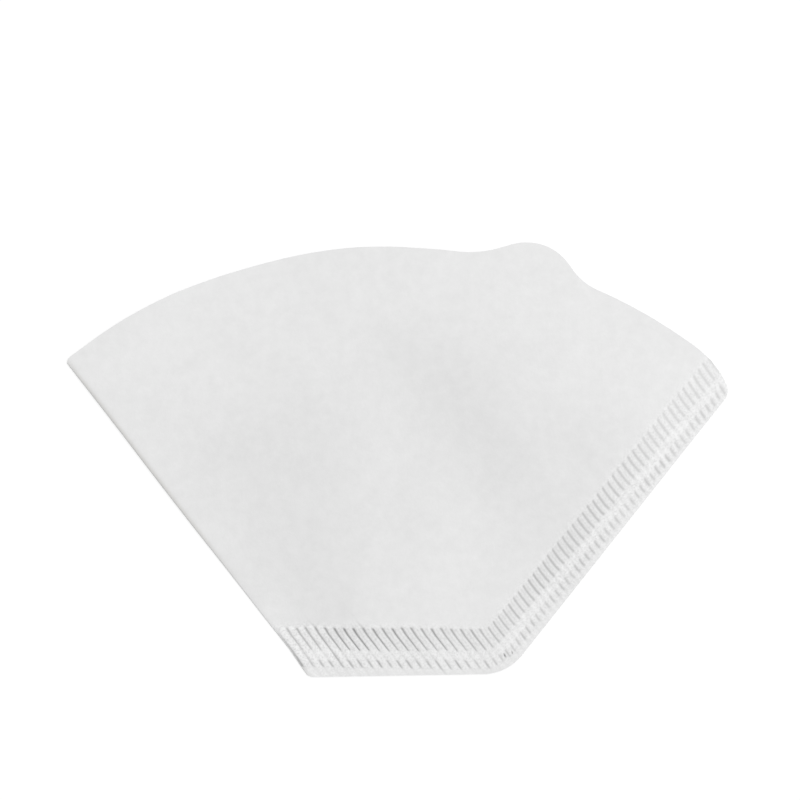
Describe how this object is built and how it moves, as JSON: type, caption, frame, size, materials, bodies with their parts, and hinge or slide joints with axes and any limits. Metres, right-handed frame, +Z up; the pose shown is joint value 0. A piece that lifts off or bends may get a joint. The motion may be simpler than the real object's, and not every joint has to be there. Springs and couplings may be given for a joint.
{
  "type": "paper coffee filter",
  "caption": "Flat-folded cone filter of white crepe paper with a folded side, crimped bottom and side seams, and an open curved mouth with a rounded ear.",
  "frame": {"origin": "middle of the filter's outline, at the surface that its back ply lies on", "axes": "+Z up through the two plies, +X from the folded side towards the crimped side, +Y from the crimped bottom towards the mouth"},
  "size_m": [0.1652, 0.1078, 0.0018],
  "materials": {
    "paper": "bleached filter paper, matt and faintly mottled, with soft edges"
  },
  "bodies": {
    "root": {"filter_paper": "paper"}
  },
  "joints": []
}
